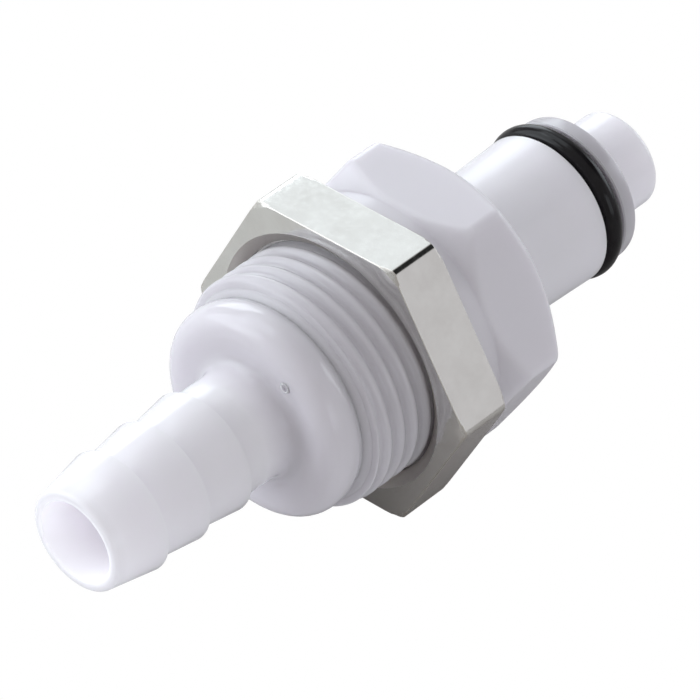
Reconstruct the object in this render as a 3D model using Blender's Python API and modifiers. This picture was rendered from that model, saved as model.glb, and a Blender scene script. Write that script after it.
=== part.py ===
"""Panel-mount quick-disconnect insert: hex-flanged body, jam nut, hose barb and nose valve.

Frame: X runs along the fitting, nose at +X and hose barb at -X, +Z up.
The origin is on the axis, at the flange face that seats on the panel or hull.
"""
import math

import bmesh
import bpy
from mathutils import Matrix

MM = 0.001
SEG = 36

# hex flange and nut, millimetres
FLANGE_AF = 19.05
FLANGE_X = 8.0
FLANGE_EDGE = (3.6, 6.0)
SHOULDER_R = 9.4
NOSE_SHOULDER_R = 8.7
CORNER_CUT = 0.12
FLANGE_TURN = 28.5
NUT_AF = 20.9
NUT_T = 4.2
NUT_TURN = 26.0
NUT_CHAMFER = 0.3
COUNTERSINK_R = 9.6
GAP = 0.25

# thread, 11/16-20 form
PITCH = 1.27
THREAD_R = 8.64
ROOT_R = 7.94
THREAD_X0 = -9.05
THREAD_X1 = -0.95
CREST_HALF = 0.08
THREAD_CLEAR = 0.14

# neck, O-ring groove and lip
NECK_R0 = 5.38
NECK_R1 = 5.66
NECK_X = 17.2
GROOVE_R = 4.40
LIP_X0 = 19.15
LIP_X1 = 20.5
LIP_R = 5.5
NOSE_BORE_R = 3.70
CHAMBER_R = 4.6
CHAMBER_X = 14.9
COUNTERBORE_R = 6.2
COUNTERBORE_X = -3.0
BODY_END_X = -9.45

# hose barb
COLLAR_R = 7.85
COLLAR_X = -9.75
STEM_R = 4.0
RIDGE_R = 4.46
VALLEY_R = 3.93
RIDGES_X = (-16.74, -20.6, -24.45)
BARB_END_X = -28.4
BARB_END_R = 3.78
BARB_BORE_R = 3.02
SPIGOT_R = 6.05
SPIGOT_X = -4.7

# nose valve
NOSE_R = 3.62
NOSE_X = 24.95
POPPET_FLANGE_R = 4.3
STEM_GUIDE_R = 1.6

# rings: centre radius, section radius, position
NOSE_RING = (5.15, 0.70, 18.2)
TAIL_RING = (5.61, 0.52, -7.1)
VALVE_RING = (3.70, 0.62, 14.75)

# spring
SPRING_R = 3.35
SPRING_WIRE = 0.30
SPRING_X0 = -2.75
SPRING_X1 = 12.15
SPRING_COILS = 7

for stale in list(bpy.data.objects):
    bpy.data.objects.remove(stale)

PART = bpy.data.collections.new("panel_mount_hose_barb_insert")
TOOLS = bpy.data.collections.new("cutting_shapes")
bpy.context.scene.collection.children.link(PART)
bpy.context.scene.collection.children.link(TOOLS)


def material(name, colour, rough, metal=0.0):
    mat = bpy.data.materials.new(name)
    mat.use_nodes = True
    shader = mat.node_tree.nodes["Principled BSDF"]
    shader.inputs["Base Color"].default_value = (*colour, 1.0)
    shader.inputs["Roughness"].default_value = rough
    shader.inputs["Metallic"].default_value = metal
    mat.diffuse_color = (*colour, 1.0)
    return mat


ACETAL = (0.86, 0.87, 0.90)
MATERIALS = {
    "main_body": material("body_white", ACETAL, 0.30),
    "hose_barb": material("barb_white", (0.87, 0.88, 0.91), 0.28),
    "valve_poppet": material("poppet_white", (0.85, 0.86, 0.89), 0.32),
    "spring_guide": material("guide_white", (0.84, 0.85, 0.88), 0.35),
    "jam_nut": material("nickel_plate", (0.62, 0.61, 0.58), 0.24, 1.0),
    "valve_spring": material("spring_steel", (0.58, 0.58, 0.60), 0.30, 1.0),
    "nose_o_ring": material("ring_black", (0.02, 0.02, 0.022), 0.35),
    "tail_o_ring": material("seal_black", (0.024, 0.024, 0.026), 0.42),
    "valve_o_ring": material("valve_black", (0.022, 0.022, 0.025), 0.40),
}


def lay_on_axis(obj, x):
    """Turn the object's own Z onto world X and set it at x on the axis."""
    obj.rotation_euler = (0.0, math.pi / 2, 0.0)
    obj.location = (x * MM, 0.0, 0.0)


def new_object(name, mesh, x, tool=False):
    obj = bpy.data.objects.new(name, mesh)
    (TOOLS if tool else PART).objects.link(obj)
    lay_on_axis(obj, x)
    if tool:
        obj.hide_render = True
        obj.display_type = "WIRE"
    else:
        mesh.materials.append(MATERIALS[name])
    return obj


def smooth(obj, angle=32.0):
    mesh = obj.data
    mesh.polygons.foreach_set("use_smooth", [True] * len(mesh.polygons))
    mesh.set_sharp_from_angle(angle=math.radians(angle))


def bake(obj):
    """Keep the shape that the modifiers make and shade it smooth."""
    bpy.context.view_layer.update()
    shape = obj.evaluated_get(bpy.context.evaluated_depsgraph_get())
    mesh = bpy.data.meshes.new_from_object(shape)
    obj.modifiers.clear()
    obj.data = mesh
    smooth(obj)


def turned(name, profile, x=0.0, tool=False, seg=SEG):
    """A turned solid from (x, radius) points: down the outside, back up the bore."""
    mesh = bpy.data.meshes.new(name)
    count = len(profile)
    points = [(r * MM, 0.0, (px - x) * MM) for px, r in profile]
    open_ends = profile[0][1] == 0.0 and profile[-1][1] == 0.0
    edges = [(i, i + 1) for i in range(count - 1)]
    if not open_ends:
        edges.append((count - 1, 0))
    mesh.from_pydata(points, edges, [])
    obj = new_object(name, mesh, x, tool)
    screw = obj.modifiers.new("turn", "SCREW")
    screw.axis = "Z"
    screw.steps = seg
    screw.render_steps = seg
    screw.use_merge_vertices = True
    screw.merge_threshold = 1e-6
    screw.use_normal_calculate = True
    bake(obj)
    closed_outward(obj)
    return obj


def closed_outward(obj):
    work = bmesh.new()
    work.from_mesh(obj.data)
    bmesh.ops.remove_doubles(work, verts=work.verts, dist=1e-7)
    bmesh.ops.recalc_face_normals(work, faces=work.faces)
    work.to_mesh(obj.data)
    work.free()
    smooth(obj)


def slab(name, outline, x0, x1):
    """A straight-sided cutting shape: an outline across the axis, from x0 to x1."""
    work = bmesh.new()
    half = (x1 - x0) / 2
    lower = [work.verts.new((px * MM, py * MM, -half * MM)) for px, py in outline]
    upper = [work.verts.new((px * MM, py * MM, half * MM)) for px, py in outline]
    total = len(outline)
    for i in range(total):
        j = (i + 1) % total
        work.faces.new((lower[i], lower[j], upper[j], upper[i]))
    work.faces.new(list(reversed(lower)))
    work.faces.new(upper)
    bmesh.ops.recalc_face_normals(work, faces=work.faces)
    mesh = bpy.data.meshes.new(name)
    work.to_mesh(mesh)
    work.free()
    return new_object(name, mesh, (x0 + x1) / 2, tool=True)


def prism(name, across_flats, x0, x1, turn, cut):
    """A hexagonal bar along the axis, its long edges cut back by a small flat."""
    radius = across_flats / math.sqrt(3.0)
    tips = []
    for k in range(6):
        a = math.radians(turn + 60.0 * k)
        tips.append((radius * math.cos(a), radius * math.sin(a)))
    outline = []
    for k in range(6):
        for other in (tips[k - 1], tips[(k + 1) % 6]):
            t = cut / radius
            outline.append((
                tips[k][0] + (other[0] - tips[k][0]) * t,
                tips[k][1] + (other[1] - tips[k][1]) * t,
            ))
    return slab(name, outline, x0, x1)


def helix(name, section, x0, x1, x_ref=0.0, seg=SEG):
    """A right-hand thread rib: (radius, offset) section swept one pitch a turn."""
    steps = int(round((x1 - x0) / PITCH * seg))
    work = bmesh.new()
    rings = []
    start = int(round((x0 - x_ref) / PITCH * seg))
    for k in range(start, start + steps + 1):
        angle = 2 * math.pi * k / seg
        at = x_ref + PITCH * k / seg
        ring = [
            work.verts.new((r * MM * math.cos(angle), r * MM * math.sin(angle), (at + dx) * MM))
            for r, dx in section
        ]
        rings.append(ring)
    count = len(section)
    for near, far in zip(rings, rings[1:]):
        for i in range(count):
            j = (i + 1) % count
            work.faces.new((near[i], near[j], far[j], far[i]))
    work.faces.new(rings[0])
    work.faces.new(list(reversed(rings[-1])))
    bmesh.ops.recalc_face_normals(work, faces=work.faces)
    mesh = bpy.data.meshes.new(name)
    work.to_mesh(mesh)
    work.free()
    return new_object(name, mesh, 0.0, tool=True)


def combine(obj, tool, operation):
    mod = obj.modifiers.new(tool.name, "BOOLEAN")
    mod.operation = operation
    mod.solver = "EXACT"
    mod.object = tool


def arc(cx, cr, radius, start, end, steps):
    """Points on an arc in the (x, radius) plane, angles in degrees from +X."""
    points = []
    for i in range(steps + 1):
        a = math.radians(start + (end - start) * i / steps)
        points.append((cx + radius * math.cos(a), cr + radius * math.sin(a)))
    return points


def ring(name, spec, seg=32, sides=8):
    centre_r, section_r, x = spec
    loop = arc(x, centre_r, section_r, 22.5, 22.5 + 360 - 360 / sides, sides - 1)
    return turned(name, loop, x, seg=seg)


# ---- main body: flange, thread, neck, groove, lip and bore
corner = FLANGE_AF / math.sqrt(3.0)
body_profile = [
    (LIP_X1, NOSE_BORE_R + 0.2),
    (LIP_X1, LIP_R - 0.3),
    (LIP_X1 - 0.12, LIP_R - 0.06),
    (LIP_X1 - 0.4, LIP_R + 0.02),
    (LIP_X0, LIP_R + 0.06),
    (LIP_X0, GROOVE_R),
    (NECK_X, GROOVE_R),
    (NECK_X, NECK_R1),
    (NECK_X - 0.2, NECK_R1 + 0.02),
    (FLANGE_X + 0.6, NECK_R0),
    (FLANGE_X + 0.15, NECK_R0 + 0.12),
    (FLANGE_X, NECK_R0 + 0.45),
    (FLANGE_X, NOSE_SHOULDER_R - 0.15),
    (FLANGE_X - 0.12, NOSE_SHOULDER_R + 0.02),
    (FLANGE_EDGE[1] - 0.1, corner + 0.1),
    (FLANGE_EDGE[0] + 0.1, corner + 0.1),
    (FLANGE_EDGE[0] - (corner - SHOULDER_R), SHOULDER_R),
    (0.0, SHOULDER_R),
    (0.0, ROOT_R - 0.1),
    (-0.75, ROOT_R - 0.1),
    (-0.9, ROOT_R),
    (THREAD_X0 - 0.1, ROOT_R),
    (THREAD_X0 - 0.35, ROOT_R - 0.4),
    (BODY_END_X, ROOT_R - 0.45),
    (BODY_END_X, COUNTERBORE_R),
    (COUNTERBORE_X, COUNTERBORE_R),
    (COUNTERBORE_X, CHAMBER_R),
    (CHAMBER_X, CHAMBER_R),
    (CHAMBER_X + CHAMBER_R - NOSE_BORE_R, NOSE_BORE_R),
    (LIP_X1 - 0.2, NOSE_BORE_R),
]
main_body = turned("main_body", body_profile)
bar = prism("flange_hex", FLANGE_AF, -0.2, FLANGE_X + 0.2, FLANGE_TURN, CORNER_CUT)
shell = turned("flange_blank", [
    (FLANGE_X + 0.1, 14.0), (-0.1, 14.0), (-0.1, ROOT_R + 0.05), (FLANGE_X + 0.1, ROOT_R + 0.05),
], tool=True)
combine(shell, bar, "DIFFERENCE")
bake(shell)
rib_flat = (THREAD_R - ROOT_R) * math.tan(math.radians(30.0))
rib = helix("thread_rib", [
    (ROOT_R - 0.15, -0.30), (ROOT_R, -CREST_HALF - rib_flat), (THREAD_R, -CREST_HALF),
    (THREAD_R, CREST_HALF), (ROOT_R, CREST_HALF + rib_flat), (ROOT_R - 0.15, 0.30),
], THREAD_X0 + 0.35, THREAD_X1 - 0.3)
combine(main_body, shell, "DIFFERENCE")
combine(main_body, rib, "UNION")
bake(main_body)

# ---- hose barb: spigot, collar, stem, three barbs and through bore
barb_profile = [
    (SPIGOT_X, BARB_BORE_R),
    (SPIGOT_X, SPIGOT_R - 0.3),
    (SPIGOT_X - 0.3, SPIGOT_R),
    (TAIL_RING[2] + 0.75, SPIGOT_R),
    (TAIL_RING[2] + 0.75, TAIL_RING[0] - TAIL_RING[1] - 0.05),
    (TAIL_RING[2] - 0.75, TAIL_RING[0] - TAIL_RING[1] - 0.05),
    (TAIL_RING[2] - 0.75, SPIGOT_R),
    (COLLAR_X, SPIGOT_R),
    (COLLAR_X, COLLAR_R - 0.3),
    (COLLAR_X - 0.15, COLLAR_R - 0.05),
    (COLLAR_X - 0.55, COLLAR_R + 0.08),
    (COLLAR_X - 1.15, COLLAR_R + 0.12),
    (COLLAR_X - 1.65, COLLAR_R - 0.05),
    (COLLAR_X - 2.1, COLLAR_R - 0.4),
    (COLLAR_X - 2.45, COLLAR_R - 0.9),
    (COLLAR_X - 2.65, COLLAR_R - 1.45),
    (COLLAR_X - 2.67, 5.9),
    (COLLAR_X - 2.55, 5.35),
    (COLLAR_X - 2.42, 4.85),
    (COLLAR_X - 2.5, 4.38),
    (COLLAR_X - 2.85, 4.1),
    (COLLAR_X - 3.5, STEM_R + 0.01),
    (-15.0, STEM_R),
]
barb_profile += [(RIDGES_X[0] + 0.02, VALLEY_R + 0.03), (RIDGES_X[0], RIDGE_R)]
barb_profile += [(RIDGES_X[1] + 0.02, VALLEY_R), (RIDGES_X[1], RIDGE_R)]
barb_profile += [(RIDGES_X[2] + 0.02, VALLEY_R), (RIDGES_X[2], RIDGE_R)]
barb_profile += [(BARB_END_X + 0.35, BARB_END_R), (BARB_END_X + 0.1, BARB_END_R - 0.12)]
barb_profile += [(BARB_END_X, BARB_END_R - 0.34), (BARB_END_X, BARB_BORE_R + 0.15)]
barb_profile += [(BARB_END_X + 0.15, BARB_BORE_R)]
hose_barb = turned("hose_barb", barb_profile, COLLAR_X)

# ---- jam nut: hexagon bar, turned chamfers, threaded bore
nut_front = -GAP
nut_back = -GAP - NUT_T
nut_corner = NUT_AF / math.sqrt(3.0)
nut_bore = ROOT_R + THREAD_CLEAR + 0.04
jam_nut = turned("jam_nut", [
    (nut_front, nut_corner - 0.55),
    (nut_front - NUT_CHAMFER, nut_corner + 0.1),
    (nut_back + NUT_CHAMFER, nut_corner + 0.1),
    (nut_back, nut_corner - 0.55),
    (nut_back, COUNTERSINK_R),
    (nut_back + 0.42, 9.0),
    (nut_back + 1.1, nut_bore),
    (nut_front - 0.9, nut_bore),
    (nut_front, THREAD_R + 0.55),
], nut_front, seg=48)
nut_bar = prism("nut_hex", NUT_AF, nut_back - 1.0, nut_front + 1.0, NUT_TURN, 0.18)
wide = THREAD_CLEAR / math.cos(math.radians(30.0))
low = nut_bore
low_half = CREST_HALF + (THREAD_R - low) * math.tan(math.radians(30.0)) + wide
top = THREAD_R + THREAD_CLEAR
top_half = CREST_HALF + wide - THREAD_CLEAR * math.tan(math.radians(30.0))
tap = helix("nut_tap", [
    (low - 0.2, -low_half), (low, -low_half), (top, -top_half),
    (top, top_half), (low, low_half), (low - 0.2, low_half),
], nut_back - 1.3, nut_front + 1.3)
combine(jam_nut, nut_bar, "INTERSECT")
combine(jam_nut, tap, "DIFFERENCE")
bake(jam_nut)

# ---- valve poppet: open nose tube with side ports, seal groove, spring flange, guide stem
ring_r, ring_s, ring_x = VALVE_RING
poppet_profile = [
    (NOSE_X, 2.75),
    (NOSE_X, NOSE_R - 0.42),
    (NOSE_X - 0.13, NOSE_R - 0.13),
    (NOSE_X - 0.42, NOSE_R),
    (ring_x + 0.75, NOSE_R),
    (ring_x + 0.75, ring_r - ring_s - 0.05),
    (ring_x - 0.75, ring_r - ring_s - 0.05),
    (ring_x - 0.75, POPPET_FLANGE_R),
    (ring_x - 2.1, POPPET_FLANGE_R),
    (ring_x - 2.3, POPPET_FLANGE_R - 0.2),
    (ring_x - 2.3, 2.6),
    (ring_x - 3.4, 2.4),
    (ring_x - 3.8, STEM_GUIDE_R),
    (-4.9, STEM_GUIDE_R),
    (-5.3, STEM_GUIDE_R - 0.4),
    (-5.3, 0.0),
]
poppet_bore = [(16.4, 0.0), (16.4, 2.4), (16.6, 2.6), (NOSE_X - 0.15, 2.6)]
loop = [(16.4, 0.0)] + poppet_bore[1:] + poppet_profile
valve_poppet = turned("valve_poppet", [(px, r) for px, r in loop], NOSE_X)
for k in range(2):
    work = bmesh.new()
    bmesh.ops.create_cube(work, size=1.0)
    shape = Matrix.Diagonal((10.0 * MM, 2.2 * MM, 2.0 * MM, 1.0))
    spin = Matrix.Rotation(math.radians(45.0 + 90.0 * k), 4, "Z")
    bmesh.ops.transform(work, matrix=spin @ shape, verts=work.verts)
    port_mesh = bpy.data.meshes.new(f"valve_port_{k + 1}")
    work.to_mesh(port_mesh)
    work.free()
    port = new_object(f"valve_port_{k + 1}", port_mesh, 17.75, tool=True)
    combine(valve_poppet, port, "DIFFERENCE")
bake(valve_poppet)

# ---- spring guide: ring, three spokes and a hub around the stem
guide_front = COUNTERBORE_X - 0.15
guide_back = guide_front - 1.3
spring_guide = turned("spring_guide", [
    (guide_front, 1.7),
    (guide_front, 6.1),
    (guide_back, 6.1),
    (guide_back, 1.7),
], guide_front)
for k in range(3):
    start = 120.0 * k + 16.0
    stop = 120.0 * k + 104.0
    outline = []
    for i in range(9):
        a = math.radians(start + (stop - start) * i / 8)
        outline.append((5.0 * math.cos(a), 5.0 * math.sin(a)))
    for i in range(9):
        a = math.radians(stop - 6 - (stop - start - 12) * i / 8)
        outline.append((2.7 * math.cos(a), 2.7 * math.sin(a)))
    middle = (guide_front + guide_back) / 2
    window = slab(f"guide_window_{k + 1}", outline, middle - 1.5, middle + 1.5)
    combine(spring_guide, window, "DIFFERENCE")
bake(spring_guide)

# ---- O-rings
nose_o_ring = ring("nose_o_ring", NOSE_RING, seg=36, sides=10)
tail_o_ring = ring("tail_o_ring", TAIL_RING)
valve_o_ring = ring("valve_o_ring", VALVE_RING)

# ---- compression spring with closed ends
wire = bpy.data.curves.new("valve_spring", "CURVE")
wire.dimensions = "3D"
wire.bevel_depth = SPRING_WIRE * MM
wire.bevel_resolution = 1
wire.use_fill_caps = True
per_turn = 18
turns = SPRING_COILS + 2
total = per_turn * turns
line = wire.splines.new("POLY")
line.points.add(total)
closed = 2.15 * SPRING_WIRE
free = SPRING_X1 - SPRING_X0 - 2 * closed
for i in range(total + 1):
    t = i / per_turn
    if t < 1.0:
        x = SPRING_X0 + closed * t
    elif t > turns - 1.0:
        x = SPRING_X1 - closed * (turns - t)
    else:
        x = SPRING_X0 + closed + free * (t - 1.0) / (turns - 2.0)
    a = 2 * math.pi * t
    px = SPRING_R * math.cos(a)
    py = SPRING_R * math.sin(a)
    line.points[i].co = (px * MM, py * MM, (x - SPRING_X0) * MM, 1.0)
coil = bpy.data.objects.new("spring_path", wire)
TOOLS.objects.link(coil)
bpy.context.view_layer.update()
shape = coil.evaluated_get(bpy.context.evaluated_depsgraph_get())
spring_mesh = bpy.data.meshes.new_from_object(shape)
spring_mesh.name = "valve_spring"
bpy.data.objects.remove(coil)
spring_mesh.materials.clear()
valve_spring = new_object("valve_spring", spring_mesh, SPRING_X0)
closed_outward(valve_spring)
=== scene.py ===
"""Looks of the panel-mount quick-disconnect insert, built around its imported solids."""
import math

import bmesh
import bpy
from mathutils import Matrix, Vector


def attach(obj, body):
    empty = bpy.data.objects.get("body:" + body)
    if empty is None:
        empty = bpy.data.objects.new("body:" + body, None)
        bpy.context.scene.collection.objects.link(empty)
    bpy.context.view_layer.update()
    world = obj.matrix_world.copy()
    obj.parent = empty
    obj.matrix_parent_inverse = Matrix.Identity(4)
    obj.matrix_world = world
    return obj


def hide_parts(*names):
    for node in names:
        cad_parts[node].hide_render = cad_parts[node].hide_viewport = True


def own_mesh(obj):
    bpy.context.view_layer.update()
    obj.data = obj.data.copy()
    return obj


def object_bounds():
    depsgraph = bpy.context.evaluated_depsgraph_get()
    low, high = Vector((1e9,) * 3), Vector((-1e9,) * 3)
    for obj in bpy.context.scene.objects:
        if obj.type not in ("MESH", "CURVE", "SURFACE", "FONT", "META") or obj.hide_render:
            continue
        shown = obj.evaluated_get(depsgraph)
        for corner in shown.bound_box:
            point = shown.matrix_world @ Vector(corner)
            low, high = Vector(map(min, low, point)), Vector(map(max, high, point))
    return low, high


MM = 0.001
SEG = 144

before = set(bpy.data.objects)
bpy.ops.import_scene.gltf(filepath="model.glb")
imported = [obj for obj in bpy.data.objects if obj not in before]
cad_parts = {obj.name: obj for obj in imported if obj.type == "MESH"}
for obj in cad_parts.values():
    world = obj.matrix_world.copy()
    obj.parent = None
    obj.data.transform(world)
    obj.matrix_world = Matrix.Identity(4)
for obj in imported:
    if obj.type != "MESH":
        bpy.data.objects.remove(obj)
low_all, high_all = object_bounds()

# ---- driving sizes, millimetres, X along the fitting
FLANGE_AF = 19.05
FLANGE_X = 8.0
FLANGE_EDGE = (3.6, 6.0)
SHOULDER_R = 9.4
NOSE_SHOULDER_R = 8.4
FLANGE_TURN = 28.5
NUT_AF = 20.9
NUT_T = 4.2
NUT_TURN = 26.0
NUT_CHAMFER = 0.3
NUT_EDGE = 0.08
COUNTERSINK_R = 9.6
GAP = 0.25
PITCH = 1.27
THREAD_R = 8.64
ROOT_R = 7.94
THREAD_X0 = -9.05
THREAD_X1 = -0.95
NECK_R0 = 5.38
NECK_R1 = 5.66
NECK_X = 17.2
GROOVE_R = 4.40
LIP_X0 = 19.15
LIP_X1 = 20.5
LIP_R = 5.5
NOSE_BORE_R = 3.70
CHAMBER_R = 4.6
CHAMBER_X = 14.9
COUNTERBORE_R = 6.2
COUNTERBORE_X = -3.0
BODY_END_X = -9.45
STEM_R = 4.0
RIDGE_R = 4.46
VALLEY_R = 3.93
RIDGES_X = (-16.64, -20.5, -24.35)
BARB_END_X = -28.4
BARB_END_R = 3.78
BARB_BORE_R = 3.02
SPIGOT_R = 6.05
SPIGOT_X = -4.7
COLLAR_X = -9.36
NOSE_R = 3.62
NOSE_X = 24.95
NOSE_RING = (5.17, 0.75, 18.2)
TAIL_RING = (5.61, 0.52, -7.1)
VALVE_RING = (3.70, 0.62, 14.75)
THREAD_FLOOR = 0.62
NUT_BORE_OVER = 0.18
NUT_THREAD_DEPTH = 0.66
GATE_X = -12.41
GATE_OUT = 5.9
GATE_ANGLE = 214.2
GATE_RING = (0.32, 0.09)
PORT_BAR = (2.0, 10.0, 2.2)
PORT_X = 17.75
STEM_END_X = -5.3
SPRING_X0 = -2.75
SPRING_X1 = 12.15
SPRING_R = 3.35
WIRE_R = 0.3
CLOSED_PITCH = 0.645
TURNS = 9
TURN_STEPS = 36

# ---- node sockets and studio sizes, metres
MIX_A = 6
MIX_B = 7
LIGHT_DISTANCE = 0.5
FLOOR_HALF = 1.2
FLOOR_GAP = 0.0006


# ---- shapes
def place(obj, body, node=None):
    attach(obj, body)
    if node:
        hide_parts(node)
    return obj


def smooth(obj, angle=30.0):
    mesh = obj.data
    mesh.polygons.foreach_set("use_smooth", [True] * len(mesh.polygons))
    mesh.set_sharp_from_angle(angle=math.radians(angle))


def turn_angles(turn, offsets):
    """Even steps round the axis, with finer ones beside six corners."""
    found = {round(360.0 * k / SEG, 4) for k in range(SEG)}
    for k in range(6):
        for off in offsets:
            found.add(round((turn + 60.0 * k + off) % 360.0, 4))
            found.add(round((turn + 60.0 * k - off) % 360.0, 4))
    return [math.radians(a) for a in sorted(found)]


def lathe(name, loop, seg=SEG, radial=None, angles=None):
    """Closed solid of revolution about X from a closed (x, radius) loop."""
    angles = angles or [2 * math.pi * k / seg for k in range(seg)]
    seg = len(angles)
    work = bmesh.new()
    rings = []
    for px, r in loop:
        if r == 0.0:
            rings.append([work.verts.new((px * MM, 0.0, 0.0))])
            continue
        row = []
        for a in angles:
            rr = radial(px, r, a) if radial else r
            row.append(work.verts.new((px * MM, rr * MM * math.sin(a), -rr * MM * math.cos(a))))
        rings.append(row)
    count = len(rings)
    for i in range(count):
        a_row = rings[i]
        b_row = rings[(i + 1) % count]
        if len(a_row) == 1 and len(b_row) == 1:
            continue
        for k in range(seg):
            j = (k + 1) % seg
            corners = [a_row[k % len(a_row)], a_row[j % len(a_row)]]
            corners += [b_row[j % len(b_row)], b_row[k % len(b_row)]]
            unique = []
            for v in corners:
                if v not in unique:
                    unique.append(v)
            work.faces.new(unique)
    bmesh.ops.recalc_face_normals(work, faces=work.faces)
    mesh = bpy.data.meshes.new(name)
    work.to_mesh(mesh)
    work.free()
    obj = bpy.data.objects.new(name, mesh)
    bpy.context.scene.collection.objects.link(obj)
    smooth(obj)
    return obj


def arc(cx, cr, radius, start, end, steps):
    points = []
    for i in range(steps + 1):
        a = math.radians(start + (end - start) * i / steps)
        points.append((cx + radius * math.cos(a), cr + radius * math.sin(a)))
    return points


def soft_min(a, b, k):
    """The smaller of two values, blended over a band of width k."""
    h = max(k - abs(a - b), 0.0) / k
    return min(a, b) - h * h * k * 0.25


def hex_radius(angle, across_flats, turn, k):
    """Distance from the axis to a six-sided outline with rounded corners."""
    step = math.pi / 3.0
    off = (angle - math.radians(turn)) % step
    result = 99.0
    for centre in (-0.5 * step, 0.5 * step, 1.5 * step):
        fall = math.cos(off - centre)
        if fall > 0.1:
            result = soft_min(result, 0.5 * across_flats / fall, k)
    return result


def rounded(points, count=5):
    """Path through (x, radius, rounding) points, inner corners rounded."""
    path = [tuple(points[0][:2])]
    for before, here, after in zip(points, points[1:], points[2:]):
        tip = Vector(here[:2])
        a = Vector(before[:2]) - tip
        b = Vector(after[:2]) - tip
        half = a.angle(b) / 2
        if here[2] <= 0.0 or half > 1.56:
            path.append(tuple(tip))
            continue
        cut = min(here[2] / math.tan(half), a.length * 0.49, b.length * 0.49)
        size = cut * math.tan(half)
        middle = tip + (a.normalized() + b.normalized()).normalized() * (size / math.sin(half))
        start = tip + a.normalized() * cut - middle
        end = tip + b.normalized() * cut - middle
        sweep = start.angle(end)
        for i in range(count + 1):
            t = i / count
            v = (start * math.sin((1 - t) * sweep) + end * math.sin(t * sweep)) / math.sin(sweep)
            path.append(tuple(middle + v))
    path.append(tuple(points[-1][:2]))
    return path


def dense(path, step):
    """The same path with no piece longer than step."""
    result = [path[0]]
    for (x0, r0), (x1, r1) in zip(path, path[1:]):
        count = max(1, math.ceil(math.hypot(x1 - x0, r1 - r0) / step))
        for i in range(1, count + 1):
            result.append((x0 + (x1 - x0) * i / count, r0 + (r1 - r0) * i / count))
    return result


def flowing(points, count=3):
    """Smooth curve through (x, radius) points."""
    path = []
    last = len(points) - 1
    for i in range(last):
        p0, p1, p2, p3 = (points[max(0, min(last, i + k))] for k in (-1, 0, 1, 2))
        for step in range(count):
            t = step / count
            path.append(tuple(
                0.5 * (2 * b + (c - a) * t + (2 * a - 5 * b + 4 * c - d) * t * t
                       + (3 * b - a - 3 * c + d) * t * t * t)
                for a, b, c, d in zip(p0, p1, p2, p3)
            ))
    path.append(points[last])
    return path


def cut(obj, tool):
    mod = obj.modifiers.new("cut", "BOOLEAN")
    mod.operation = "DIFFERENCE"
    mod.solver = "EXACT"
    mod.object = tool
    bpy.context.view_layer.update()
    shape = obj.evaluated_get(bpy.context.evaluated_depsgraph_get())
    mesh = bpy.data.meshes.new_from_object(shape)
    obj.modifiers.clear()
    obj.data = mesh
    bpy.data.objects.remove(tool)
    smooth(obj)


def steps(x0, x1, r0, r1, count):
    """Even points from (x0, r0) to (x1, r1), both ends in."""
    return [
        (x0 + (x1 - x0) * i / count, r0 + (r1 - r0) * i / count) for i in range(count + 1)
    ]


def rib(x, angle, half_root=0.5, half_crest=0.09):
    """Share of full thread height at x and angle: 0 in the root, 1 on the crest."""
    lead = PITCH * angle / (2 * math.pi)
    off = (x - lead) / PITCH
    off = abs(off - round(off)) * PITCH
    t = (half_root - off) / (half_root - half_crest)
    t = min(max(t, 0.0), 1.0)
    return t * t * (3 - 2 * t) * 0.35 + t * 0.65


def fade(x, a, b):
    t = min(max((x - a) / (b - a), 0.0), 1.0)
    return t * t * (3 - 2 * t)


# ---- main body
def body_radius(x, r, angle):
    if x > 0.001 and r > 8.0:
        return soft_min(r, hex_radius(angle, FLANGE_AF, FLANGE_TURN, 0.5), 0.45)
    if r < ROOT_R - 0.06 or x > THREAD_X1 + 0.2 or x < THREAD_X0 - 0.1:
        return r
    level = fade(x, THREAD_X0 - 0.02, THREAD_X0 + 0.3) * (1 - fade(x, THREAD_X1 - 0.5, THREAD_X1))
    return r + (THREAD_R - ROOT_R) * (THREAD_FLOOR + (1.0 - THREAD_FLOOR) * rib(x, angle)) * level


corner = FLANGE_AF / math.sqrt(3.0)
outer = [
    (LIP_X1, NOSE_BORE_R + 0.2),
    (LIP_X1, LIP_R - 0.35),
    (LIP_X1 - 0.05, LIP_R - 0.18),
    (LIP_X1 - 0.18, LIP_R - 0.04),
    (LIP_X1 - 0.4, LIP_R + 0.02),
    (LIP_X0 + 0.1, LIP_R + 0.06),
    (LIP_X0, LIP_R - 0.04),
    (LIP_X0, GROOVE_R),
    (NECK_X, GROOVE_R),
    (NECK_X, NECK_R1 - 0.1),
    (NECK_X - 0.1, NECK_R1),
    (NECK_X - 0.25, NECK_R1 + 0.01),
]
outer += rounded([
    (FLANGE_X + 1.6, NECK_R0 + 0.02, 0.0),
    (FLANGE_X, NECK_R0, 0.75),
    (FLANGE_X, NOSE_SHOULDER_R - 1.2, 0.0),
], 8)
outer += dense(rounded([
    (FLANGE_X, NOSE_SHOULDER_R - 1.15, 0.0),
    (FLANGE_X, NOSE_SHOULDER_R, 1.3),
    (FLANGE_EDGE[1], corner + 0.15, 0.0),
    (FLANGE_EDGE[0], corner + 0.15, 0.0),
    (FLANGE_EDGE[0] - (corner + 0.15 - SHOULDER_R), SHOULDER_R, 0.3),
    (0.3, SHOULDER_R, 0.0),
], 10), 0.08)
outer += [(0.15, SHOULDER_R), (0.02, SHOULDER_R - 0.03), (0.0, SHOULDER_R - 0.1)]
outer += [(0.0, ROOT_R - 0.1), (-0.6, ROOT_R - 0.1), (-0.8, ROOT_R - 0.05)]
outer += steps(THREAD_X1 + 0.1, THREAD_X0 - 0.05, ROOT_R, ROOT_R, 96)
outer += [
    (THREAD_X0 - 0.18, ROOT_R - 0.12),
    (THREAD_X0 - 0.3, ROOT_R - 0.34),
    (BODY_END_X, ROOT_R - 0.45),
]
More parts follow.
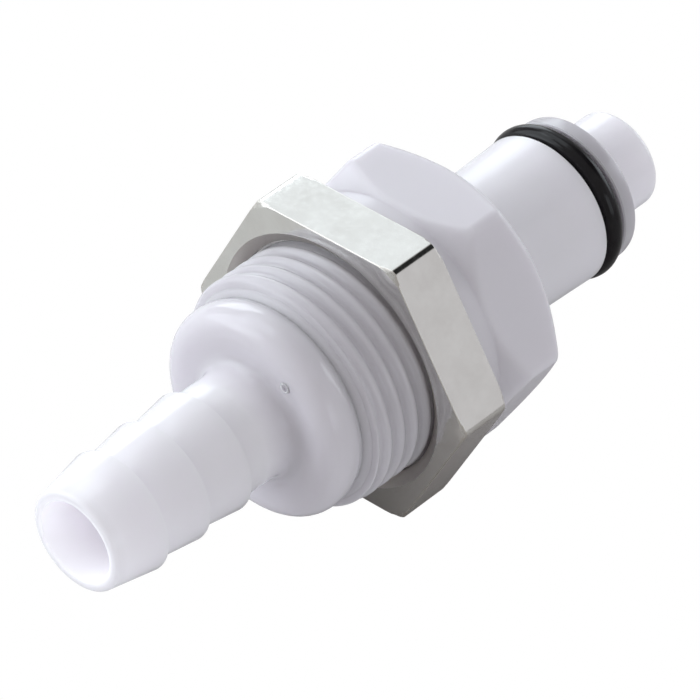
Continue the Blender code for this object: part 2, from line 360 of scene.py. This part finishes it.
inner = [
    (BODY_END_X, COUNTERBORE_R),
    (COUNTERBORE_X, COUNTERBORE_R),
    (COUNTERBORE_X, CHAMBER_R),
    (CHAMBER_X, CHAMBER_R),
    (CHAMBER_X + CHAMBER_R - NOSE_BORE_R, NOSE_BORE_R),
    (LIP_X1 - 0.2, NOSE_BORE_R),
]
corner_steps = (0.0, 0.4, 0.8, 1.2, 1.6, 2.0, 2.4, 2.9)
body_angles = turn_angles(FLANGE_TURN, corner_steps)
body = lathe("body_shell", outer + inner, radial=body_radius, angles=body_angles)
place(body, "fitting", "main_body")

# ---- hose barb
groove_r = TAIL_RING[0] - TAIL_RING[1] - 0.05
barb_loop = [
    (SPIGOT_X, BARB_BORE_R),
    (SPIGOT_X, SPIGOT_R - 0.3),
    (SPIGOT_X - 0.3, SPIGOT_R),
    (TAIL_RING[2] + 0.75, SPIGOT_R),
    (TAIL_RING[2] + 0.75, groove_r),
    (TAIL_RING[2] - 0.75, groove_r),
    (TAIL_RING[2] - 0.75, SPIGOT_R),
    (COLLAR_X, SPIGOT_R),
    (COLLAR_X, 7.45),
]
barb_loop += flowing([
    (-9.37, 7.50), (-9.52, 7.54), (-9.68, 7.58), (-9.9, 7.68), (-10.25, 7.78), (-10.7, 7.85),
    (-11.2, 7.82), (-11.68, 7.65), (-12.05, 7.34), (-12.28, 6.93), (-12.38, 6.45), (-12.36, 6.0),
    (-12.28, 5.5), (-12.2, 5.05), (-12.18, 4.72), (-12.25, 4.44), (-12.43, 4.22), (-12.75, 4.08),
    (-13.25, 4.01), (-14.0, STEM_R), (-15.0, STEM_R),
])
for x_ridge, valley in zip(RIDGES_X, (VALLEY_R + 0.03, VALLEY_R, VALLEY_R)):
    barb_loop += [(x_ridge + 0.05, valley), (x_ridge + 0.02, valley + 0.03)]
    barb_loop += [(x_ridge, RIDGE_R - 0.05), (x_ridge - 0.02, RIDGE_R - 0.01), (x_ridge - 0.08, RIDGE_R)]
barb_loop += [(BARB_END_X + 0.42, BARB_END_R + 0.02)]
barb_loop += arc(BARB_END_X + 0.32, BARB_END_R - 0.32, 0.32, 90.0, 180.0, 6)
barb_loop += arc(BARB_END_X + 0.12, BARB_BORE_R + 0.12, 0.12, 180.0, 270.0, 4)
barb = lathe("barb_shell", barb_loop)
place(barb, "fitting", "hose_barb")

# ---- gate mark on the collar
work = bmesh.new()
mark = []
for i in range(20):
    a = 2 * math.pi * i / 20
    row = []
    for k in range(8):
        b = 2 * math.pi * k / 8
        out = GATE_RING[0] + GATE_RING[1] * math.cos(b)
        point = Vector((GATE_RING[1] * math.sin(b), out * math.cos(a), out * math.sin(a)))
        row.append(work.verts.new(point * MM))
    mark.append(row)
for i in range(20):
    for k in range(8):
        pair = (mark[i], mark[(i + 1) % 20])
        work.faces.new((pair[0][k], pair[1][k], pair[1][(k + 1) % 8], pair[0][(k + 1) % 8]))
bmesh.ops.recalc_face_normals(work, faces=work.faces)
mesh = bpy.data.meshes.new("gate_mark")
work.to_mesh(mesh)
work.free()
gate = bpy.data.objects.new("gate_mark", mesh)
bpy.context.scene.collection.objects.link(gate)
smooth(gate, 60.0)
gate_at = math.radians(GATE_ANGLE)
gate_centre = Vector((GATE_X, GATE_OUT * math.sin(gate_at), -GATE_OUT * math.cos(gate_at)))
gate.data.transform(Matrix.Translation(gate_centre * MM))
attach(gate, "fitting")

# ---- nut
nut_front = -GAP
nut_back = -GAP - NUT_T
nut_corner = NUT_AF / math.sqrt(3.0)
# out of sight, the nut's inner ridges run about 0.25 mm into the barrel's shallow thread valleys
nut_bore = ROOT_R + NUT_BORE_OVER
nut_face_r = nut_corner - 0.55


def nut_radius(x, r, angle):
    if r > 9.3:
        deep = min(x - nut_back, nut_front - x)
        inset = 0.0
        if deep < NUT_EDGE:
            inset = NUT_EDGE - math.sqrt(max(NUT_EDGE**2 - (NUT_EDGE - deep) ** 2, 0.0))
        if r > COUNTERSINK_R + 0.01:
            return soft_min(r, hex_radius(angle, NUT_AF, NUT_TURN, 0.4) - inset, 0.1)
        return r
    if r > nut_bore + 0.01:
        return r
    return r + NUT_THREAD_DEPTH * rib(x, angle, 0.6, 0.2)


edge_depths = (0.0, 0.004, 0.012, 0.025, 0.045, 0.07, 0.1, 0.13, 0.16, 0.2, 0.24, 0.28, 0.33, 0.42)
rise = (nut_corner + 0.1 - nut_face_r) / NUT_CHAMFER
nut_loop = [(nut_front - d, min(nut_face_r + rise * d, nut_corner + 0.1)) for d in edge_depths]
nut_loop += [(nut_back + d, min(nut_face_r + rise * d, nut_corner + 0.1)) for d in reversed(edge_depths)]
nut_loop += [
    (nut_back, COUNTERSINK_R),
    (nut_back + 0.03, COUNTERSINK_R - 0.02),
    (nut_back + 0.55, 8.86),
    (nut_back + 0.62, 8.78),
    (nut_back + 0.9, 8.72),
    (nut_back + 1.0, nut_bore + 0.02),
]
nut_loop += steps(nut_back + 1.1, nut_front - 0.9, nut_bore, nut_bore, 32)
nut_loop += [(nut_front, THREAD_R + 0.55)]
nut_angles = turn_angles(NUT_TURN, (0.0, 0.15, 0.3, 0.45, 0.6, 0.75, 0.9, 1.1, 1.5))
nut = lathe("nut_plated", nut_loop, radial=nut_radius, angles=nut_angles)
place(nut, "nut", "jam_nut")


# ---- rings
def ring(name, spec, body_name, node, sides=28):
    centre_r, section_r, x = spec
    loop = arc(x, centre_r, section_r, 0.0, 360.0 - 360.0 / sides, sides - 1)
    obj = lathe(name, loop)
    smooth(obj, 60.0)
    return place(obj, body_name, node)


nose_ring = ring("nose_ring", NOSE_RING, "fitting", "nose_o_ring")
tail_ring = ring("tail_ring", TAIL_RING, "nut_turner", "tail_o_ring", 16)
valve_ring = ring("valve_ring", VALVE_RING, "valve", "valve_o_ring", 16)


# ---- valve poppet and spring
poppet_loop = [(16.4, 0.0), (16.4, 2.4), (16.6, 2.6), (NOSE_X - 0.2, 2.6), (NOSE_X - 0.05, 2.66)]
poppet_loop += [(NOSE_X, 2.8)]
poppet_loop += arc(NOSE_X - 0.45, NOSE_R - 0.45, 0.45, 0.0, 90.0, 8)
ring_r, ring_s, ring_x = VALVE_RING
poppet_loop += [
    (ring_x + 0.75, NOSE_R),
    (ring_x + 0.75, ring_r - ring_s - 0.05),
    (ring_x - 0.75, ring_r - ring_s - 0.05),
    (ring_x - 0.75, 4.3),
    (ring_x - 2.1, 4.3),
    (ring_x - 2.3, 4.1),
    (ring_x - 2.3, 2.6),
    (ring_x - 3.4, 2.4),
    (ring_x - 3.8, 1.6),
    (STEM_END_X + 0.4, 1.6),
    (STEM_END_X, 1.2),
    (STEM_END_X, 0.0),
]
poppet = lathe("poppet_shell", poppet_loop, seg=96)


def port_bar(angle):
    work = bmesh.new()
    bmesh.ops.create_cube(work, size=1.0)
    shape = Matrix.Diagonal((*(side * MM for side in PORT_BAR), 1.0))
    turn = Matrix.Rotation(math.radians(angle), 4, "X")
    shift = Matrix.Translation((PORT_X * MM, 0.0, 0.0))
    bmesh.ops.transform(work, matrix=shift @ turn @ shape, verts=work.verts)
    mesh = bpy.data.meshes.new("port")
    work.to_mesh(mesh)
    work.free()
    obj = bpy.data.objects.new("port", mesh)
    bpy.context.scene.collection.objects.link(obj)
    return obj


for port_angle in (45.0, 135.0):
    cut(poppet, port_bar(port_angle))
place(poppet, "valve", "valve_poppet")

wire = bpy.data.curves.new("coil", "CURVE")
wire.dimensions = "3D"
wire.bevel_depth = WIRE_R * MM
wire.bevel_resolution = 3
wire.use_fill_caps = True
line = wire.splines.new("POLY")
line.points.add(TURNS * TURN_STEPS)
open_pitch = (SPRING_X1 - SPRING_X0 - 2 * CLOSED_PITCH) / (TURNS - 2)
for i in range(TURNS * TURN_STEPS + 1):
    t = i / TURN_STEPS
    if t < 1.0:
        x = SPRING_X0 + CLOSED_PITCH * t
    elif t > TURNS - 1:
        x = SPRING_X1 - CLOSED_PITCH * (TURNS - t)
    else:
        x = SPRING_X0 + CLOSED_PITCH + open_pitch * (t - 1.0)
    a = 2 * math.pi * t
    line.points[i].co = (x * MM, SPRING_R * math.sin(a) * MM, -SPRING_R * math.cos(a) * MM, 1.0)
coil = bpy.data.objects.new("coil", wire)
bpy.context.scene.collection.objects.link(coil)
bpy.context.view_layer.update()
depsgraph = bpy.context.evaluated_depsgraph_get()
spring_mesh = bpy.data.meshes.new_from_object(coil.evaluated_get(depsgraph))
bpy.data.objects.remove(coil)
spring = bpy.data.objects.new("spring_wire", spring_mesh)
bpy.context.scene.collection.objects.link(spring)
smooth(spring, 60.0)
place(spring, "fitting", "valve_spring")
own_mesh(spring)


# ---- materials
def node_of(tree, kind, **sockets):
    node = tree.nodes.new(kind)
    for key, value in sockets.items():
        node.inputs[key.replace("_", " ")].default_value = value
    return node


def wire_up(tree, *pairs):
    for source, target in pairs:
        tree.links.new(source, target)


def noise(tree, coords, scale, detail=3.0, rough=0.55):
    node = node_of(tree, "ShaderNodeTexNoise", Scale=scale, Detail=detail, Roughness=rough)
    wire_up(tree, (coords, node.inputs["Vector"]))
    return node


def spread(tree, source, low, high, new_low, new_high):
    node = tree.nodes.new("ShaderNodeMapRange")
    for index, value in zip(range(1, 5), (low, high, new_low, new_high)):
        node.inputs[index].default_value = value
    wire_up(tree, (source, node.inputs[0]))
    return node.outputs[0]


def blend_colours(tree, factor, first, second):
    node = tree.nodes.new("ShaderNodeMix")
    node.data_type = "RGBA"
    node.inputs[MIX_A].default_value = (*first, 1.0)
    node.inputs[MIX_B].default_value = (*second, 1.0)
    wire_up(tree, (factor, node.inputs[0]))
    return node.outputs[2]


def blank_material(name):
    mat = bpy.data.materials.new(name)
    mat.use_nodes = True
    tree = mat.node_tree
    shader = tree.nodes["Principled BSDF"]
    coords = tree.nodes.new("ShaderNodeTexCoord").outputs["Object"]
    return mat, tree, shader, coords


def raise_bump(tree, source, bump, shader):
    wire_up(
        tree, (source.outputs["Fac"], bump.inputs["Height"]),
        (bump.outputs["Normal"], shader.inputs["Normal"]),
    )


def plastic(name, tones, rough, painted_bore_glow=0.0):
    """Translucent moulding; tones are (x in mm, base lightness), painted shade and light by region; the
    bore glow is painted light that lights the open bore.
    """
    mat, tree, shader, coords = blank_material(name)
    place_at = tree.nodes.new("ShaderNodeSeparateXYZ")
    wire_up(tree, (coords, place_at.inputs[0]))
    start, span = tones[0][0], tones[-1][0] - tones[0][0]
    ramp = tree.nodes.new("ShaderNodeValToRGB")
    stops = ramp.color_ramp.elements
    for k, (x, tone) in enumerate(tones):
        if 0 < k < len(tones) - 1:
            stop = stops.new((x - start) / span)
        else:
            stop = stops[0 if k == 0 else -1]
        stop.color = (tone, 0.958 * tone, 1.012 * tone, 1.0)
    along = spread(tree, place_at.outputs["X"], start * MM, (start + span) * MM, 0.0, 1.0)
    cloud = noise(tree, coords, 70.0, 2.0, 0.5)
    drift = spread(tree, cloud.outputs["Fac"], 0.1, 0.9, 0.955, 1.0)
    tinted = tree.nodes.new("ShaderNodeMix")
    tinted.data_type = "RGBA"
    tinted.blend_type = "MULTIPLY"
    tinted.inputs[0].default_value = 1.0
    wire_up(tree, (along, ramp.inputs[0]), (ramp.outputs[0], tinted.inputs[MIX_A]))
    wire_up(tree, (drift, tinted.inputs[MIX_B]))
    wire_up(tree, (tinted.outputs[2], shader.inputs["Base Color"]))
    fine = noise(tree, coords, 260.0, 2.0, 0.5)
    low = spread(tree, fine.outputs["Fac"], 0.0, 1.0, rough - 0.03, rough + 0.03)
    wire_up(tree, (low, shader.inputs["Roughness"]))
    bump = node_of(tree, "ShaderNodeBump", Strength=0.06, Distance=0.00003)
    raise_bump(tree, fine, bump, shader)
    shader.inputs["IOR"].default_value = 1.48
    shader.inputs["Subsurface Weight"].default_value = 0.7
    shader.inputs["Subsurface Radius"].default_value = (1.0, 0.95, 1.0)
    shader.inputs["Subsurface Scale"].default_value = 0.0018
    # painted light: the open bore glows, and faintly the barb's outside, fading out from the barb's end
    if painted_bore_glow:
        flat = node_of(tree, "ShaderNodeCombineXYZ")
        wire_up(tree, (place_at.outputs["Y"], flat.inputs["Y"]), (place_at.outputs["Z"], flat.inputs["Z"]))
        size = tree.nodes.new("ShaderNodeVectorMath")
        size.operation = "LENGTH"
        wire_up(tree, (flat.outputs[0], size.inputs[0]))
        bore = spread(tree, size.outputs["Value"], 0.0029, 0.0034, painted_bore_glow, 0.15 * painted_bore_glow)
        tip = spread(tree, place_at.outputs["X"], -0.029, -0.021, 1.0, 0.0)
        painted_glow = node_of(tree, "ShaderNodeMath")
        painted_glow.operation = "MULTIPLY"
        wire_up(tree, (bore, painted_glow.inputs[0]), (tip, painted_glow.inputs[1]))
        wire_up(tree, (painted_glow.outputs[0], shader.inputs["Emission Strength"]))
        shader.inputs["Emission Color"].default_value = (0.93, 0.965, 1.0, 1.0)
    return mat


def metal(name, light, shade, rough, grain, edge_wear_and_shade=None):
    """Plated or bare metal; the edge colour is for its duller edges and bevels, partly worn plating and
    partly painted shade that dims their highlights.
    """
    mat, tree, shader, coords = blank_material(name)
    cloud = noise(tree, coords, 420.0, 5.0, 0.65)
    tone = spread(tree, cloud.outputs["Fac"], 0.35, 0.7, 0.0, 1.0)
    colour = blend_colours(tree, tone, light, shade)
    fine = noise(tree, coords, 2600.0, 4.0, 0.6)
    low = spread(tree, fine.outputs["Fac"], 0.3, 0.7, rough - 0.05, rough + 0.08)
    # darker, duller edges and bevels: partly worn plating, partly painted shade dimming the edge
    # highlights
    if edge_wear_and_shade:
        facing = tree.nodes.new("ShaderNodeSeparateXYZ")
        wire_up(tree, (tree.nodes.new("ShaderNodeNewGeometry").outputs["Normal"], facing.inputs[0]))
        lean = tree.nodes.new("ShaderNodeMath")
        lean.operation = "ABSOLUTE"
        wire_up(tree, (facing.outputs["X"], lean.inputs[0]))
        edge = tree.nodes.new("ShaderNodeMath")
        edge.operation = "MULTIPLY"
        wire_up(
            tree, (spread(tree, lean.outputs[0], 0.12, 0.3, 0.0, 1.0), edge.inputs[0]),
            (spread(tree, lean.outputs[0], 0.95, 0.8, 0.0, 1.0), edge.inputs[1]),
        )
        mix = tree.nodes.new("ShaderNodeMix")
        mix.data_type = "RGBA"
        mix.inputs[MIX_B].default_value = (*edge_wear_and_shade, 1.0)
        wire_up(tree, (edge.outputs[0], mix.inputs[0]), (colour, mix.inputs[MIX_A]))
        colour = mix.outputs[2]
        dull = tree.nodes.new("ShaderNodeMath")
        dull.operation = "MULTIPLY_ADD"
        dull.inputs[1].default_value = 0.3
        wire_up(tree, (edge.outputs[0], dull.inputs[0]), (low, dull.inputs[2]))
        low = dull.outputs[0]
    wire_up(tree, (colour, shader.inputs["Base Color"]), (low, shader.inputs["Roughness"]))
    bump = node_of(tree, "ShaderNodeBump", Strength=grain, Distance=0.00002)
    raise_bump(tree, cloud, bump, shader)
    shader.inputs["Metallic"].default_value = 1.0
    return mat


def rubber(name, light, shade, rough):
    mat, tree, shader, coords = blank_material(name)
    cloud = noise(tree, coords, 700.0, 4.0, 0.6)
    tone = spread(tree, cloud.outputs["Fac"], 0.35, 0.7, 0.0, 1.0)
    wire_up(tree, (blend_colours(tree, tone, light, shade), shader.inputs["Base Color"]))
    low = spread(tree, cloud.outputs["Fac"], 0.3, 0.7, rough - 0.04, rough + 0.06)
    wire_up(tree, (low, shader.inputs["Roughness"]))
    shader.inputs["Specular IOR Level"].default_value = 0.22
    bump = node_of(tree, "ShaderNodeBump", Strength=0.12, Distance=0.00003)
    raise_bump(tree, cloud, bump, shader)
    return mat


# the real plastic is one colour; its base lightness differs by region only to suit this studio's light:
# painted shade darkens the thread, collar and lip, painted light brightens the barb
PAINTED_TONE = {
    "tip": 0.85, "barb": 0.92, "collar": 0.72, "thread": 0.60, "flange": 0.725, "neck": 0.81,
    "lip": 0.485, "nose": 0.84,
}
body_white = plastic("acetal_body", (
    (-9.5, PAINTED_TONE["thread"]), (-1.2, PAINTED_TONE["thread"]), (0.2, PAINTED_TONE["flange"]), (7.6, PAINTED_TONE["flange"]),
    (9.2, PAINTED_TONE["neck"]), (18.6, PAINTED_TONE["neck"]), (18.9, PAINTED_TONE["lip"]), (20.5, PAINTED_TONE["lip"]),
), 0.22)
barb_white = plastic("acetal_barb", (
    (-28.4, PAINTED_TONE["tip"]), (-27.5, PAINTED_TONE["barb"]), (-14.6, PAINTED_TONE["barb"]),
    (-12.6, PAINTED_TONE["collar"]), (-9.3, PAINTED_TONE["collar"]),
), 0.13, painted_bore_glow=0.33)
nose_white = plastic("acetal_nose", ((16.0, PAINTED_TONE["nose"]), (25.0, PAINTED_TONE["nose"])), 0.2)
inner_white = plastic("acetal_inside", ((-6.0, 0.86), (0.0, 0.82)), 0.3)
# the last colour is for the nut's edges and bevels: partly worn plating, partly painted shade
nickel = metal(
    "nickel_plated", (0.74, 0.735, 0.71), (0.68, 0.67, 0.645), 0.13, 0.12, (0.62, 0.59, 0.55),
)
steel = metal("wire_steel", (0.56, 0.56, 0.58), (0.48, 0.48, 0.5), 0.28, 0.2)
black = rubber("nitrile", (0.007, 0.006, 0.007), (0.012, 0.011, 0.012), 0.17)


def dress(obj, mat):
    obj.data.materials.clear()
    obj.data.materials.append(mat)


for piece, mat in (
    (body, body_white), (barb, barb_white), (poppet, nose_white), (nut, nickel), (spring, steel),
    (nose_ring, black), (tail_ring, black), (valve_ring, black),
    (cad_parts["spring_guide"], inner_white),
):
    dress(piece, mat)
dress(gate, barb_white)

# ---- floor and camera
floor_z = low_all[2] - FLOOR_GAP
half = FLOOR_HALF
mesh = bpy.data.meshes.new("floor")
corners = [(x, y, floor_z) for x, y in ((-half, -half), (half, -half), (half, half), (-half, half))]
mesh.from_pydata(corners, [], [(0, 1, 2, 3)])
floor = bpy.data.objects.new("floor", mesh)
bpy.context.scene.collection.objects.link(floor)
paper, tree, shader, coords = blank_material("paper")
shader.inputs["Roughness"].default_value = 0.8
place_on = tree.nodes.new("ShaderNodeSeparateXYZ")
wire_up(tree, (coords, place_on.inputs[0]))
# painted shadow: reflections see the floor darkest in a band under the fitting, paler to either side and
# palest toward +Y; the camera sees plain white and other rays an even pale grey
across = spread(tree, place_on.outputs["Y"], -0.008, 0.010, 0.0, 1.0)
ramp = tree.nodes.new("ShaderNodeValToRGB")
wire_up(tree, (across, ramp.inputs[0]))
stops = ramp.color_ramp.elements
stops[0].color = (0.53, 0.50, 0.48, 1.0)
stops[1].color = (0.70, 0.68, 0.655, 1.0)
stops.new(0.33).color = (0.31, 0.29, 0.275, 1.0)
painted_floor_shadow = ramp.outputs[0]
glow = node_of(tree, "ShaderNodeEmission", Strength=1.0)
glow.inputs["Color"].default_value = (1.0, 1.0, 1.0, 1.0)
pick = tree.nodes.new("ShaderNodeMixShader")
ray = tree.nodes.new("ShaderNodeLightPath")
tint = tree.nodes.new("ShaderNodeMix")
tint.data_type = "RGBA"
tint.inputs[MIX_A].default_value = (0.84, 0.84, 0.85, 1.0)
wire_up(
    tree, (ray.outputs["Is Glossy Ray"], tint.inputs[0]), (painted_floor_shadow, tint.inputs[MIX_B]),
    (tint.outputs[2], shader.inputs["Base Color"]),
)
exit_node = tree.nodes["Material Output"]
wire_up(
    tree, (ray.outputs["Is Camera Ray"], pick.inputs[0]), (shader.outputs[0], pick.inputs[1]),
    (glow.outputs[0], pick.inputs[2]), (pick.outputs[0], exit_node.inputs["Surface"]),
)
dress(floor, paper)

# ---- studio light
world = bpy.data.worlds.new("studio")
bpy.context.scene.world = world
world.use_nodes = True
tree = world.node_tree
sky = tree.nodes["Background"]
direction = tree.nodes.new("ShaderNodeTexCoord").outputs["Generated"]


def lobe(toward, outer, inner):
    """1 within inner degrees of a direction, 0 beyond outer degrees."""
    dot = tree.nodes.new("ShaderNodeVectorMath")
    dot.operation = "DOT_PRODUCT"
    dot.inputs[1].default_value = Vector(toward).normalized()
    wire_up(tree, (direction, dot.inputs[0]))
    ends = (math.cos(math.radians(outer)), math.cos(math.radians(inner)))
    return spread(tree, dot.outputs["Value"], ends[0], ends[1], 0.0, 1.0)


def over(below, factor, colour):
    node = tree.nodes.new("ShaderNodeMix")
    node.data_type = "RGBA"
    node.inputs[MIX_B].default_value = (*colour, 1.0)
    wire_up(tree, (factor, node.inputs[0]), (below, node.inputs[MIX_A]))
    return node.outputs[2]


parts = tree.nodes.new("ShaderNodeSeparateXYZ")
wire_up(tree, (direction, parts.inputs[0]))
rise = spread(tree, parts.outputs["Z"], -0.3, 0.5, 0.0, 1.0)
level = 0.460
warm = (level, 0.98 * level, 0.975 * level)
shade_mix = blend_colours(tree, rise, tuple(0.7 * part for part in warm), warm)
shade_mix = over(shade_mix, lobe((0.56, 0.60, 0.575), 22.0, 14.0), (1.05, 1.10, 1.135))
shade_mix = over(shade_mix, lobe((0.56, -0.80, 0.21), 26.0, 16.0), (0.71, 0.70, 0.72))
shade_mix = over(shade_mix, lobe((0.56, -0.216, 0.80), 28.0, 21.0), (0.02, 0.02, 0.02))
ray = tree.nodes.new("ShaderNodeLightPath")
plain = over(shade_mix, ray.outputs["Is Camera Ray"], (1.0, 1.0, 1.0))
wire_up(tree, (plain, sky.inputs["Color"]))
sky.inputs["Strength"].default_value = 1.0


def soft_light(name, toward, size, power, colour=(0.905, 0.985, 1.045)):
    light = bpy.data.lights.new(name, "AREA")
    light.shape = "SQUARE"
    light.size = size
    light.energy = power
    light.color = colour
    obj = bpy.data.objects.new(name, light)
    bpy.context.scene.collection.objects.link(obj)
    obj.location = Vector(toward).normalized() * LIGHT_DISTANCE
    obj.rotation_euler = (-obj.location).to_track_quat("-Z", "Y").to_euler()


soft_light("strip", (0.56, 0.79, 0.25), 0.25, 0.5)
soft_light("left", (-0.5, 0.75, 0.43), 0.45, 1.35)
soft_light("front", (-0.8, 0.6, 0.1), 0.35, 0.35)
soft_light("over", (0.0, 0.5, 0.87), 0.35, 0.68)
soft_light("right", (-0.1, -0.98, 0.12), 0.3, 0.36)
soft_light("back", (0.95, -0.25, 0.2), 0.3, 0.65)

camera = bpy.data.cameras.new("camera")
camera.lens = 298.4
camera.sensor_width = 36.0
camera.clip_start = 0.01
eye = bpy.data.objects.new("camera", camera)
bpy.context.scene.collection.objects.link(eye)
eye.location = (-0.217785, -0.191229, 0.254899)
eye.rotation_euler = (math.radians(48.4533), math.radians(-1.0320), math.radians(-47.4823))
bpy.context.scene.camera = eye
bpy.context.scene.view_settings.view_transform = "Standard"
